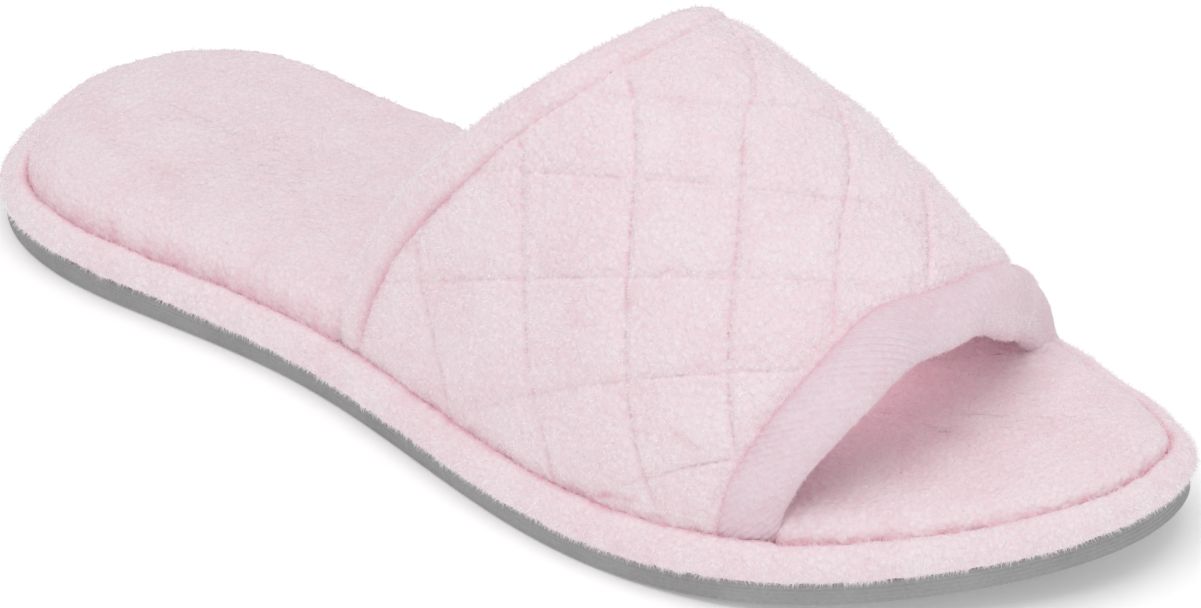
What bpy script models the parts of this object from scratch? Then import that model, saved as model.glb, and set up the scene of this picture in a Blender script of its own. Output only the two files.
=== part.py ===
"""Open-toe terry scuff slipper for the right foot, built as its maker puts it together.

The outsole, the cloth-wrapped midsole, the padded footbed, the quilted upper and the two edge
bindings are separate solids. Lengths below are millimetres on the last: x runs from the back of
the heel to the toe, y is positive on the inner (medial) side, z is height above the floor.
Objects are made in metres with the toe towards +X and the origin under the middle of the shoe.
"""

import math

import bmesh
import bpy
import numpy as np

MM = 0.001

# Plan of the sole: one row for each section from heel to toe
HEEL_BACK = (-0.7, 0.0)
TOE_TIP = (262.1, 4.0)
# (distance from the back of the heel, y of the lateral edge, y of the medial edge)
SECTIONS = (
    (7.0, -21.7, 21.5),
    (29.0, -34.1, 34.6),
    (60.0, -36.0, 35.2),
    (95.0, -36.6, 33.5),
    (130.0, -43.2, 36.2),
    (165.0, -50.3, 41.5),
    (195.0, -50.3, 43.7),
    (221.0, -42.3, 40.5),
    (242.0, -27.6, 34.2),
    (256.0, -11.8, 24.8),
)
OUTLINE_ROWS = 40

# Side view of the sole
SPRING_START = 176.0
TOE_SPRING = 8.2
HEEL_ROUND_LENGTH = 22.0
HEEL_ROUND_LIFT = 0.8

# Heights of the layers above the underside, and the gap that separate pieces keep
GAP = 0.3
OUTSOLE_THICK = 4.5
OUTSOLE_BEVEL_INSET = 1.2
OUTSOLE_BEVEL_HEIGHT = 0.3
RIB_COUNT = 4
RIB_DEPTH = 0.35
RIB_MARGIN = 0.65
WRAP_BOTTOM = OUTSOLE_THICK + GAP
RECESS_FLOOR = 8.0
FOOTBED_BOTTOM = RECESS_FLOOR + GAP
FOOTBED_INSET = 3.0
FOOTBED_CROWN = 0.7
FOOTBED_COLUMNS = 4

# Section of the wrap, from its bottom edge over the roll and down to the recess for the footbed
WRAP_BULGE = 1.4
# (distance outside the outline, height above the wrap's bottom)
WRAP_ROLL = (
    (-0.6, 0.0),
    (0.7, 0.5),
    (1.3, 1.8),
    (WRAP_BULGE, 3.3),
    (1.0, 4.9),
    (0.2, 6.1),
    (-0.9, 6.6),
    (-1.9, 6.3),
    (-2.5, 5.5),
    (-2.5, RECESS_FLOOR - WRAP_BOTTOM),
)

# Section of the footbed's edge, from its bottom to where the top levels out
# (distance inside the footbed's edge, height above the footbed's bottom)
FOOTBED_PILLOW = (
    (0.5, 0.0),
    (0.0, 0.9),
    (0.1, 2.6),
    (0.8, 5.0),
    (2.0, 6.3),
    (4.2, 7.2),
    (8.0, 7.4),
)

# Quilted upper: the seam where it meets the sole, and the arch at each of its two edges.
# lateral, medial = x where the edge meets the seam; apex = x of its highest point;
# height = apex above the seam; apex_y = y there; side, dome = how full the arch is.
SEAM_HEIGHT = 10.65
SEAM_INSET = 3.0
ARCH_COLUMNS = ("lateral", "medial", "apex", "height", "apex_y", "side", "dome")
THROAT_ARCH = (106.0, 111.0, 152.3, 67.2, -1.7, 0.60, 0.86)
TOE_ARCH = (217.0, 212.5, 229.8, 28.5, -5.0, 1.04, 0.92)
INSTEP_RISE = 11.5
APEX_FORWARD_POWER = 1.5

WALL = 5.0
WALL_AT_SEAM = 3.0
SEAM_TAPER = 10.0
SKIRT_DROP = SEAM_HEIGHT - RECESS_FLOOR - GAP
# The footbed steps in beside the upper, over a stretch that starts and ends this far beyond it
NOTCH_START = 7.0
NOTCH_END = 2.0

# Quilting: two families of stitch lines, the second the mirror image of the first.
# A line's number grows along the upper and across it; the lines come out about 19 mm apart.
QUILT_DEPTH = 1.6
QUILT_FULLNESS = 0.45
QUILT_START = 2.027
QUILT_ALONG = 2.12
QUILT_ALONG_SQUARE = 1.263
QUILT_ACROSS = 3.163
QUILT_SKEW = -0.479
QUILT_ACROSS_SQUARE = 0.17
QUILT_MIRROR_SHIFT = 3

# Edge bindings: a folded strip with a slot that takes the upper's thinned edge
TOE_BINDING_WIDTH = 11.0
THROAT_BINDING_WIDTH = 8.5
SLOT_DEPTH = 4.5
FLANGE_REACH = 4.0
FLANGE_OUTER = 1.3
FLANGE_INNER = 3.5
SLOT_OUTER = FLANGE_OUTER - GAP
SLOT_INNER = FLANGE_INNER + GAP
BINDING_OUTER = -1.0
BINDING_INNER = 5.8
# Outside of the strip, from the slot's outer lip round the fold to its inner lip
# (reach past the seam as a share of the width, depth under the crests of the quilting)
BINDING_FOLD = (
    (0.0, 0.1),
    (0.16, -0.8),
    (0.45, BINDING_OUTER),
    (0.74, -0.3),
    (0.94, 1.1),
    (1.0, 2.6),
    (0.88, 4.6),
    (0.45, BINDING_INNER),
    (0.0, 4.7),
)

# Depths under the crests of the quilting, and what they shrink to at the seam with the sole
FULL_DEPTHS = (BINDING_OUTER, SLOT_OUTER, FLANGE_OUTER, FLANGE_INNER, SLOT_INNER, BINDING_INNER)
SEAM_DEPTHS = (0.0, 0.7, 1.0, 2.0, 2.3, WALL_AT_SEAM)

# Mesh of the upper: rows along it, columns across it, and how much closer the columns
# lie at its sides, where it turns down to the sole
UPPER_ROWS = 21
UPPER_COLUMNS = 42
COLUMN_CROWDING = 0.45
EDGE_FADE = 0.10
EDGE_DEPTH = 0.5

PINK = (0.82, 0.62, 0.67, 1.0)
PINK_LINING = (0.80, 0.58, 0.63, 1.0)
PINK_BINDING = (0.80, 0.57, 0.64, 1.0)
GREY = (0.33, 0.32, 0.33, 1.0)


def smoothstep(value, low, high):
    """0 below low, 1 above high, and a smooth ramp between."""
    ramp = np.clip((np.asarray(value, float) - low) / (high - low), 0.0, 1.0)
    return ramp * ramp * (3.0 - 2.0 * ramp)


def periodic_spline(points, samples):
    """A closed cubic curve through points, and its tangents, at even parameter steps."""
    points = np.asarray(points, float)
    count = len(points)
    steps = np.linalg.norm(np.roll(points, -1, axis=0) - points, axis=1)
    before = np.roll(steps, 1)
    system = np.zeros((count, count))
    right = np.zeros((count, 2))
    for i in range(count):
        ahead = (i + 1) % count
        system[i, i - 1] += steps[i]
        system[i, i] += 2.0 * (before[i] + steps[i])
        system[i, ahead] += before[i]
        rise_in = (points[i] - points[i - 1]) / before[i]
        rise_out = (points[ahead] - points[i]) / steps[i]
        right[i] = 3.0 * (rise_in * steps[i] + rise_out * before[i])
    slopes = np.linalg.solve(system, right)
    ends = np.concatenate([[0.0], np.cumsum(steps)])
    where = np.linspace(0.0, ends[-1], samples, endpoint=False)
    span = np.clip(np.searchsorted(ends, where, side="right") - 1, 0, count - 1)
    t = ((where - ends[span]) / steps[span])[:, None]
    width = steps[span][:, None]
    start, end = points[span], points[(span + 1) % count]
    slope_in, slope_out = slopes[span] * width, slopes[(span + 1) % count] * width
    cubic = 2.0 * start + slope_in - 2.0 * end + slope_out
    square = -3.0 * start - 2.0 * slope_in + 3.0 * end - slope_out
    curve = ((cubic * t + square) * t + slope_in) * t + start
    tangent = (3.0 * cubic * t + 2.0 * square) * t + slope_in
    return curve, tangent / np.linalg.norm(tangent, axis=1)[:, None]


class Outline:
    """The sole's plan: points and outward normals along the lateral and the medial side."""

    DENSE = 2400

    def __init__(self):
        lateral = [(along, edge) for along, edge, _ in SECTIONS]
        medial = [(along, edge) for along, _, edge in reversed(SECTIONS)]
        curve, tangent = periodic_spline([HEEL_BACK, *lateral, TOE_TIP, *medial], self.DENSE)
        normal = np.stack([tangent[:, 1], -tangent[:, 0]], axis=1)
        heel = int(curve[:, 0].argmin())
        curve = np.roll(curve, -heel, axis=0)
        normal = np.roll(normal, -heel, axis=0)
        toe = int(curve[:, 0].argmax())
        back = np.r_[0, np.arange(self.DENSE - 1, toe - 1, -1)]
        self.sides = {
            "lateral": (curve[: toe + 1], normal[: toe + 1]),
            "medial": (curve[back], normal[back]),
        }

    def side_points(self, side, rows):
        """rows + 1 evenly spaced points with their outward normals, from heel to toe."""
        line, out = self.sides[side]
        length = np.concatenate([[0.0], np.cumsum(np.linalg.norm(np.diff(line, axis=0), axis=1))])
        even = np.linspace(0.0, length[-1], rows + 1)
        points = np.stack([np.interp(even, length, line[:, k]) for k in (0, 1)], axis=1)
        normals = np.stack([np.interp(even, length, out[:, k]) for k in (0, 1)], axis=1)
        return points, normals / np.linalg.norm(normals, axis=1)[:, None]

    def ring(self, offset):
        """The outline moved outwards: up the lateral side to the toe, then back. offset may vary."""
        lateral, lateral_out = self.side_points("lateral", OUTLINE_ROWS)
        medial, medial_out = self.side_points("medial", OUTLINE_ROWS)
        points = np.vstack([lateral, medial[-2:0:-1]])
        out = np.vstack([lateral_out, medial_out[-2:0:-1]])
        return points + out * np.asarray(offset, float).reshape(-1, 1)

    def edge_y(self, side, along, inset):
        """y of the side's edge, moved in by inset, at a distance along the shoe."""
        line, out = self.sides[side]
        moved = line - out * inset
        order = moved[:, 0].argsort()
        return np.interp(along, moved[order, 0], moved[order, 1])


OUTLINE = Outline()


def underside(along):
    """Height of the shoe's underside: flat from heel to ball, with toe spring and a rounded heel."""
    along = np.asarray(along, float)
    toe = np.clip((along - SPRING_START) / (TOE_TIP[0] - SPRING_START), 0.0, 1.05)
    heel = np.clip((HEEL_ROUND_LENGTH - along) / HEEL_ROUND_LENGTH, 0.0, 1.1)
    return TOE_SPRING * toe**2 + HEEL_ROUND_LIFT * heel**2


def centre_of_plan():
    """The middle of the widest outline, which is that of the wrapped midsole."""
    ring = OUTLINE.ring(WRAP_BULGE)
    return (ring.min(axis=0) + ring.max(axis=0)) / 2.0


PLAN_CENTRE = centre_of_plan()


def level_ring(offset, height):
    """A ring of points at one height above the underside."""
    plan = OUTLINE.ring(offset)
    return np.column_stack([plan, underside(plan[:, 0]) + height])


def material(name, colour, roughness):
    made = bpy.data.materials.new(name)
    made.use_nodes = True
    shader = made.node_tree.nodes["Principled BSDF"]
    shader.inputs["Base Color"].default_value = colour
    shader.inputs["Roughness"].default_value = roughness
    shader.inputs["Metallic"].default_value = 0.0
    return made


def add_object(name, points, faces, finish):
    """A closed mesh object in metres, in the row frame, its faces pointing out."""
    shifted = (np.asarray(points, float) - [*PLAN_CENTRE, 0.0]) * MM
    mesh = bpy.data.meshes.new(name)
    mesh.from_pydata(shifted.tolist(), [], faces)
    body = bmesh.new()
    body.from_mesh(mesh)
    bmesh.ops.recalc_face_normals(body, faces=body.faces)
    if body.calc_volume(signed=True) < 0.0:
        bmesh.ops.reverse_faces(body, faces=body.faces)
    body.to_mesh(mesh)
    body.free()
    mesh.shade_smooth()
    mesh.set_sharp_from_angle(angle=math.radians(50.0))
    mesh.materials.append(finish)
    made = bpy.data.objects.new(name, mesh)
    bpy.context.scene.collection.objects.link(made)
    return made


def wall_faces(rings, per_ring):
    """Quads joining each ring of points to the next one up."""
    faces = []
    for level in range(rings - 1):
        low, high = level * per_ring, (level + 1) * per_ring
        for i in range(per_ring):
            j = (i + 1) % per_ring
            faces.append((low + i, low + j, high + j, high + i))
    return faces


def cap_faces(ring_index, columns, inner_start):
    """Faces over a ring, in strips from the lateral to the medial side, with inner columns."""
    rows = OUTLINE_ROWS

    def at(row, column):
        if row == 0 or column == 0:
            return ring_index[row]
        if row == rows or column == columns:
            return ring_index[-row % (2 * rows)]
        return inner_start + (row - 1) * (columns - 1) + column - 1

    faces = []
    for row in range(rows):
        for column in range(columns):
            quad = [at(row, column), at(row, column + 1), at(row + 1, column + 1), at(row + 1, column)]
            face = tuple(dict.fromkeys(quad))
            if len(face) > 2:
                faces.append(face)
    return faces


def ring_solid(name, rings, finish, crown=0.0, columns=1):
    """A solid stacked from rings, closed by flat strips below and a crowned cap above."""
    per_ring = len(rings[0])
    points = [tuple(p) for ring in rings for p in ring]
    faces = wall_faces(len(rings), per_ring)
    faces += cap_faces(list(range(per_ring)), 1, 0)
    top = list(range((len(rings) - 1) * per_ring, len(rings) * per_ring))
    inner_start = len(points)
    if columns > 1:
        points += crowned_points(rings[-1], crown, columns)
    faces += cap_faces(top, columns, inner_start)
    return add_object(name, points, faces, finish)


def crowned_points(ring, crown, columns):
    """The points inside a ring, raised to a soft crown along the middle."""
    inner = []
    for row in range(1, OUTLINE_ROWS):
        lateral, medial = ring[row], ring[-row]
        rise = crown * math.sin(math.pi * row / OUTLINE_ROWS)
        for column in range(1, columns):
            share = column / columns
            point = lateral * (1.0 - share) + medial * share
            point[2] += rise * math.sin(math.pi * share)
            inner.append(tuple(point))
    return inner


def make_outsole(finish):
    """The grey outsole, with fine ribs around its side."""
    rings = [level_ring(-OUTSOLE_BEVEL_INSET, 0.0), level_ring(-RIB_DEPTH, OUTSOLE_BEVEL_HEIGHT)]
    for height in np.linspace(RIB_MARGIN, OUTSOLE_THICK - RIB_MARGIN, 2 * RIB_COUNT):
        in_groove = len(rings) % 2
        rings.append(level_ring(-RIB_DEPTH * in_groove, height))
    rings.append(level_ring(-RIB_DEPTH, OUTSOLE_THICK))
    return ring_solid("outsole", rings, finish)


def make_midsole(finish):
    """The foam midsole in its cloth wrap: a soft roll round the edge and a recess for the footbed."""
    rings = [level_ring(out, WRAP_BOTTOM + up) for out, up in WRAP_ROLL]
    return ring_solid("midsole_wrap", rings, finish)


def upper_window(side, along):
    """1 where the upper's edge stands between the wrap and the footbed, 0 elsewhere."""
    column = ARCH_COLUMNS.index(side)
    start, end = THROAT_ARCH[column], TOE_ARCH[column]
    entered = smoothstep(along, start - NOTCH_START, start - NOTCH_END)
    left = smoothstep(along, end + NOTCH_END, end + NOTCH_START)
    return entered * (1.0 - left)


def footbed_offset(extra):
    """How far in the footbed's edge lies, further in beside the upper."""
    plan = OUTLINE.ring(0.0)
    rows = OUTLINE_ROWS
    lateral = upper_window("lateral", plan[:, 0])
    medial = upper_window("medial", plan[:, 0])
    on_lateral = np.arange(len(plan)) <= rows
    window = np.where(on_lateral, lateral, medial)
    beside_upper = WALL_AT_SEAM + 1.2 * GAP
    return -(FOOTBED_INSET + beside_upper * window + extra)


def make_footbed(finish):
    """The padded footbed: a pillow edge and a lightly crowned top."""
    rings = [level_ring(footbed_offset(inset), FOOTBED_BOTTOM + up) for inset, up in FOOTBED_PILLOW]
    return ring_solid("footbed", rings, finish, crown=FOOTBED_CROWN, columns=FOOTBED_COLUMNS)


def arch_value(column, u):
    """A size of the upper's arch, u being 0 at the throat edge and 1 at the toe edge."""
    index = ARCH_COLUMNS.index(column)
    return THROAT_ARCH[index] + (TOE_ARCH[index] - THROAT_ARCH[index]) * u


def upper_surface(u, t):
    """The upper's outer surface. t is -1 at the lateral seam, 0 on the ridge, 1 at the medial seam.
    Past the seams it runs straight down, by 1 mm for each 1 added to t."""
    u, t = np.broadcast_arrays(np.asarray(u, float), np.asarray(t, float))
    angle = (np.clip(t, -1.0, 1.0) + 1.0) * math.pi / 2.0
    cosine, sine = np.cos(angle), np.clip(np.sin(angle), 0.0, 1.0)
    x_lateral, x_medial = arch_value("lateral", u), arch_value("medial", u)
    share = (1.0 - np.sign(cosine) * np.abs(cosine) ** arch_value("side", u)) / 2.0
    y_lateral = OUTLINE.edge_y("lateral", x_lateral, SEAM_INSET)
    y_medial = OUTLINE.edge_y("medial", x_medial, SEAM_INSET)
    forward = arch_value("apex", u) - (x_lateral + x_medial) / 2.0
    sideways = arch_value("apex_y", u) - (y_lateral + y_medial) / 2.0
    height = arch_value("height", u) + INSTEP_RISE * 4.0 * u * (1.0 - u)
    x = x_lateral + (x_medial - x_lateral) * share + forward * sine**APEX_FORWARD_POWER
    y = y_lateral + (y_medial - y_lateral) * share + sideways * sine**2
    base = underside(x_lateral) * (1.0 - share) + underside(x_medial) * share + SEAM_HEIGHT
    drop = np.maximum(np.abs(t) - 1.0, 0.0)
    z = base + height * sine ** arch_value("dome", u) - drop
    return np.stack([x, y, z], axis=-1)


def upper_normal(u, t):
    """The outward normal of the upper's surface."""
    u, t = np.broadcast_arrays(np.asarray(u, float), np.asarray(t, float))
    small_u, small_t = 0.004, 0.006
    inside = np.clip(t, -1.0 + 2.0 * small_t, 1.0 - 2.0 * small_t)
    along = upper_surface(u + small_u, inside) - upper_surface(u - small_u, inside)
    across = upper_surface(u, inside + small_t) - upper_surface(u, inside - small_t)
    normal = np.cross(along, across)
    normal /= np.linalg.norm(normal, axis=-1)[..., None]
    level = smoothstep(np.abs(t), 0.94, 1.0)[..., None]
    flat = normal * np.array([1.0, 1.0, 0.0])
    flat /= np.linalg.norm(flat, axis=-1)[..., None]
    blended = normal * (1.0 - level) + flat * level
    return blended / np.linalg.norm(blended, axis=-1)[..., None]


def upper_length(t):
    """Length of the upper's surface from its throat edge to its toe edge at t."""
    steps = np.linspace(0.0, 1.0, 25)[:, None]
    line = upper_surface(steps, np.asarray(t, float)[None, :])
    return np.linalg.norm(np.diff(line, axis=0), axis=-1).sum(axis=0)


def height_over_seam(t, u):
    """How far up from the seam with the sole a point of the upper is."""
    angle = (np.clip(t, -1.0, 1.0) + 1.0) * math.pi / 2.0
    height = arch_value("height", u) + INSTEP_RISE * 4.0 * u * (1.0 - u)
    return height * np.clip(np.sin(angle), 0.0, 1.0) ** arch_value("dome", u)


def quilt_line(u, t):
    """The number of the stitch line at a point; whole numbers lie on a line."""
    along = QUILT_START + QUILT_ALONG * u + QUILT_ALONG_SQUARE * u**2
    return along + QUILT_ACROSS * t + QUILT_SKEW * u * t + QUILT_ACROSS_SQUARE * t**2


def quilt_depth(u, t):
    """How far the quilted surface lies below the crests of its diamonds."""
    first = np.abs(np.sin(math.pi * quilt_line(u, t)))
    second = np.abs(np.sin(math.pi * (quilt_line(u, -t) - QUILT_MIRROR_SHIFT)))
    return QUILT_DEPTH * (1.0 - (first * second) ** QUILT_FULLNESS)


def column_stations():
    """t of the columns across the upper, closer near the seams, with the skirts past them."""
    even = np.linspace(-1.0, 1.0, UPPER_COLUMNS + 1)
    closer = np.sin(even * math.pi / 2.0) * COLUMN_CROWDING + even * (1.0 - COLUMN_CROWDING)
    skirt = 1.0 + SKIRT_DROP
    return np.concatenate([[-skirt], closer, [skirt]])


STATIONS = column_stations()
LENGTHS = upper_length(np.clip(STATIONS, -1.0, 1.0))


def grown_above_seam(u):
    """0 at the seam with the sole, 1 where the upper has its full thickness, for each station."""
    return smoothstep(height_over_seam(STATIONS, u), 0.0, SEAM_TAPER)


def edge_depth(depth, grown):
    """A depth in an edge binding, which thins towards the seam with the sole."""
    return np.interp(depth, FULL_DEPTHS, SEAM_DEPTHS) * (1.0 - grown) + depth * grown


def upper_rows():
    """(u, outer depth, inner depth) of each row of the upper's wall, from throat to toe."""
    throat_seam = THROAT_BINDING_WIDTH / LENGTHS
    toe_seam = 1.0 - TOE_BINDING_WIDTH / LENGTHS
    rows = []

    def flange(u):
        grown = grown_above_seam(u)
        rows.append((u, edge_depth(FLANGE_OUTER, grown), edge_depth(FLANGE_INNER, grown)))

    def body(u, edge):
        grown = grown_above_seam(u)
        quilted = quilt_depth(u, np.clip(STATIONS, -1.0, 1.0))
        outer = grown * (quilted * edge + EDGE_DEPTH * (1.0 - edge))
        rows.append((u, outer, WALL_AT_SEAM + (WALL - WALL_AT_SEAM) * grown))

    flange(throat_seam - FLANGE_REACH / LENGTHS)
    flange(throat_seam + GAP / LENGTHS)
    body(throat_seam + 3.0 * GAP / LENGTHS, 0.0)
    for row in range(UPPER_ROWS):
        share = (row + 0.75) / (UPPER_ROWS + 0.5)
        edge = float(smoothstep(min(share, 1.0 - share), 0.0, EDGE_FADE))
        body(throat_seam + (toe_seam - throat_seam) * share, edge)
    body(toe_seam - 3.0 * GAP / LENGTHS, 0.0)
    flange(toe_seam - GAP / LENGTHS)
    flange(toe_seam + FLANGE_REACH / LENGTHS)
    return rows


def make_upper(finish):
    """The quilted upper: one padded wall, open at throat, toe and underneath."""
    outer, inner = [], []
    for u, outer_depth, inner_depth in upper_rows():
        surface, normal = upper_surface(u, STATIONS), upper_normal(u, STATIONS)
        outer.append(surface - normal * outer_depth[:, None])
        inner.append(surface - normal * inner_depth[:, None])
    return sheet_solid("upper", np.array(outer), np.array(inner), finish)


def sheet_solid(name, outer, inner, finish):
    """A wall between two grids of points, closed along its four edges."""
    rows, columns = outer.shape[:2]
    points = np.vstack([outer.reshape(-1, 3), inner.reshape(-1, 3)])
    below = rows * columns
    faces = []
    for row in range(rows - 1):
        for column in range(columns - 1):
            a = row * columns + column
            b, c, d = a + 1, a + columns + 1, a + columns
            faces.append((a, b, c, d))
            faces.append((below + d, below + c, below + b, below + a))
    rim = [c for c in range(columns)]
    rim += [r * columns + columns - 1 for r in range(1, rows)]
    rim += [(rows - 1) * columns + c for c in range(columns - 2, -1, -1)]
    rim += [r * columns for r in range(rows - 2, 0, -1)]
    for here, ahead in zip(rim, rim[1:] + rim[:1]):
        faces.append((ahead, here, below + here, below + ahead))
    return add_object(name, points, faces, finish)


def binding_section(width):
    """The folded strip in section, as (reach past the seam, depth), closed by its slot."""
    fold = [(share * width, depth) for share, depth in BINDING_FOLD]
    slot = [(0.0, SLOT_INNER), (SLOT_DEPTH, SLOT_INNER), (SLOT_DEPTH, SLOT_OUTER), (0.0, SLOT_OUTER)]
    return fold + slot


def make_binding(name, width, at_toe, finish):
    """A folded edge binding that follows the throat or the toe edge from seam to seam."""
    section = binding_section(width)
    seam = 1.0 - width / LENGTHS if at_toe else width / LENGTHS
    outwards = 1.0 if at_toe else -1.0
    lines = []
    for reach, depth in section:
        u = seam + outwards * reach / LENGTHS
        at_depth = edge_depth(depth, grown_above_seam(u))
        lines.append(upper_surface(u, STATIONS) - upper_normal(u, STATIONS) * at_depth[:, None])
    rings = np.stack(lines, axis=1)
    per_ring, last = len(section), (len(STATIONS) - 1) * len(section)
    points = rings.reshape(-1, 3)
    faces = wall_faces(len(STATIONS), per_ring)
    faces.append(tuple(range(per_ring)))
    faces.append(tuple(range(last + per_ring - 1, last - 1, -1)))
    return add_object(name, points, faces, finish)


def main():
    for old in list(bpy.data.objects):
        bpy.data.objects.remove(old)
    pink = material("terry_pink", PINK, 0.95)
    lining = material("footbed_terry", PINK_LINING, 0.95)
    trim = material("binding_terry", PINK_BINDING, 0.9)
    grey = material("outsole_grey", GREY, 0.8)
    make_outsole(grey)
    make_midsole(pink)
    make_footbed(lining)
    make_upper(pink)
    make_binding("throat_binding", THROAT_BINDING_WIDTH, False, trim)
    make_binding("toe_binding", TOE_BINDING_WIDTH, True, trim)


main()
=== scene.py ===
"""Looks of the open-toe terry slipper: plush cloth, quilting, knitted bindings and a grey sole.

Lengths are millimetres on the last, as in the part's source: x runs from the back of the heel to
the toe, y is positive on the inner (medial) side, z is height above the floor. Meshes are made in
metres in the frame's own coordinates.
"""

import math

import bpy
import numpy as np
from mathutils import Matrix, Vector


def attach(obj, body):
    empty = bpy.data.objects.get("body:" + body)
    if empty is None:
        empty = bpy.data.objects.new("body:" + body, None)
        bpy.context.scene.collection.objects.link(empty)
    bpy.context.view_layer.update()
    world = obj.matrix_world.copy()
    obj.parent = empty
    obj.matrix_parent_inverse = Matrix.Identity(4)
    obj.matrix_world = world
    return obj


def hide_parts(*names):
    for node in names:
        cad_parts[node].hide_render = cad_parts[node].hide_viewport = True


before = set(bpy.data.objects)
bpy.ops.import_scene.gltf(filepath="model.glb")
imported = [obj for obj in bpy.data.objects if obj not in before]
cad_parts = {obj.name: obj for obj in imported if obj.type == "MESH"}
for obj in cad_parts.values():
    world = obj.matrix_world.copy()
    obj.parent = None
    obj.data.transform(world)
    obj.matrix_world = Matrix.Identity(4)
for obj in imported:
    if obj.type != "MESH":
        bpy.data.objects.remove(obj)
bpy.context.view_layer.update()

MM = 0.001

# Plan of the sole: one row for each section from heel to toe
HEEL_BACK = (-0.7, 0.0)
TOE_TIP = (262.1, 4.0)
# (distance from the back of the heel, y of the lateral edge, y of the medial edge)
SECTIONS = (
    (7.0, -21.7, 21.5),
    (29.0, -34.1, 34.6),
    (60.0, -36.0, 35.2),
    (95.0, -36.6, 33.5),
    (130.0, -43.2, 36.2),
    (165.0, -50.3, 41.5),
    (195.0, -50.3, 43.7),
    (221.0, -42.3, 40.5),
    (242.0, -27.6, 34.2),
    (256.0, -11.8, 24.8),
)

# Side view of the sole
SPRING_START = 176.0
TOE_SPRING = 8.2
HEEL_ROUND_LENGTH = 22.0
HEEL_ROUND_LIFT = 0.8

# Layers of the sole, and the gap that separate pieces keep
GAP = 0.3
OUTSOLE_THICK = 4.5
WRAP_BOTTOM = OUTSOLE_THICK + GAP
WRAP_BULGE = 1.4
RECESS_FLOOR = 8.0
FOOTBED_BOTTOM = RECESS_FLOOR + GAP
FOOTBED_INSET = 3.0
FOOTBED_CLEAR = 0.36
FOOTBED_BARE_ROWS = 4
FOOTBED_CROWN = 0.7
FOOTBED_TOP = 7.4
FOOTBED_ROUND = 2.6
FOOTBED_ROUND_REACH = 3.4
FOOTBED_RINGS_REACH = 12.0
FOOTBED_STITCH = 1.8
# The footbed's pad is thicker between these two stretches along the shoe
FOOTBED_SWELL = 4.2
SWELL_RISES = (-12.0, 30.0)
SWELL_FALLS = (75.0, 215.0)
# Distance in from the footbed's side, height over its bottom, and how deep pink the crease is painted
# there, as painted shade
FOOTBED_EDGE = (
    (0.5, 0.0, 0.5),
    (0.0, 0.8, 0.5),
    (0.0, 2.0, 0.5),
    (0.1, 2.9, 0.5),
    (0.35, 3.6, 0.42),
    (0.8, 4.3, 0.15),
    (1.4, 4.9, 0.0),
    (2.0, 5.4, 0.0),
)

# The wrap's section: distance out from the sole's outline, and height over the wrap's bottom
WRAP_PROFILE = (
    (-6.0, 1.0),
    (-3.0, 0.0),
    (-0.9, 0.4),
    (0.1, 0.5),
    (0.8, 0.95),
    (1.2, 1.6),
    (1.4, 2.3),
    (1.42, 3.2),
    (1.25, 4.1),
    (0.85, 5.0),
    (0.3, 5.8),
    (-0.4, 6.35),
    (-1.1, 6.6),
    (-1.8, 6.5),
    (-2.4, 6.2),
    (-2.85, 5.6),
    (-2.9, 4.4),
    (-2.6, 3.2),
    (-6.0, 3.0),
)
# The six points of the section's inner roll where the wrap lies against the upper
WRAP_ROLL = slice(11, 17)
WRAP_AGAINST = ((-0.35, 6.45), (-1.1, 6.85), (-1.9, 6.95), (-2.6, 6.8), (-3.0, 6.3), (-2.9, 4.4))

# Round the back of the heel and on the inner side, clear of the upper, the wrap and the footbed lean in.
# The lean grows as the side turns to LEAN_WAY, and it changes over a stretch along the shoe
LEAN_WAY = (-0.69, 0.72)
HEEL_LEAN = 4.2
HEEL_LEAN_TURN = (-0.5, 0.15)
HEEL_LEAN_ALONG = (50.0, 104.0)
TOE_LEAN = 2.4
TOE_LEAN_TURN = (-0.35, 0.25)
TOE_LEAN_ALONG = (214.0, 234.0)
FOOTBED_LEAN_SHARE = 0.9
# The wrap's lower edge stands higher at the heel
HEEL_EDGE_RISE = 1.0
HEEL_EDGE_ALONG = (20.0, 120.0)

# Quilted upper: the arch at its throat edge and at its toe edge
SEAM_HEIGHT = 10.65
SEAM_INSET = 3.0
ARCH_COLUMNS = ("lateral", "medial", "apex", "height", "apex_y", "side", "dome")
THROAT_ARCH = (106.0, 111.0, 152.3, 67.2, -1.7, 0.60, 0.86)
TOE_ARCH = (217.0, 212.5, 229.8, 28.5, -5.0, 1.04, 0.92)
INSTEP_RISE = 10.2
APEX_FORWARD_POWER = 1.5
WALL = 5.0
WALL_AT_SEAM = 3.0
SEAM_TAPER = 10.0
SEAM_SHADE = 1.8
# The padding is pressed down to this depth at the bindings, and puffs out over this distance
RIM_DEPTH = 1.25
RIM_REACH = 4.0
SKIRT_DROP = SEAM_HEIGHT - RECESS_FLOOR - GAP

# Quilting: two mirrored families of stitch lines; a whole number lies on a line
QUILT_START = 2.027
QUILT_ALONG = 2.12
QUILT_ALONG_SQUARE = 1.263
QUILT_ACROSS = 3.163
QUILT_SKEW = -0.479
QUILT_ACROSS_SQUARE = 0.17
QUILT_MIRROR_SHIFT = 3
QUILT_FULLNESS = 0.5
PILLOW_RISE = 1.25
# About the length of one cell. A low ridge runs beside each line, lower in the second family
QUILT_CELL = 24.0
GROOVE_DEPTHS = (0.60, 0.24)
GROOVE_WIDTH = 1.4
RIDGE_HEIGHTS = (0.5, 0.3)
RIDGE_BESIDE = 1.9
RIDGE_WIDTH = 0.8

# About half the length over the arch, from a seam to the ridge
ARCH_HALF_LENGTH = 98.0
# Creases in the cloth near the lateral seam: u and t of both ends, and the width and depth in mm
WRINKLES = (
    (0.615, -0.990, 0.690, -0.972, 0.9, 0.30),
    (0.690, -0.972, 0.750, -0.952, 0.9, 0.30),
    (0.775, -0.738, 0.822, -0.750, 0.8, 0.30),
    (0.712, -0.790, 0.730, -0.778, 0.8, 0.30),
)
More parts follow.
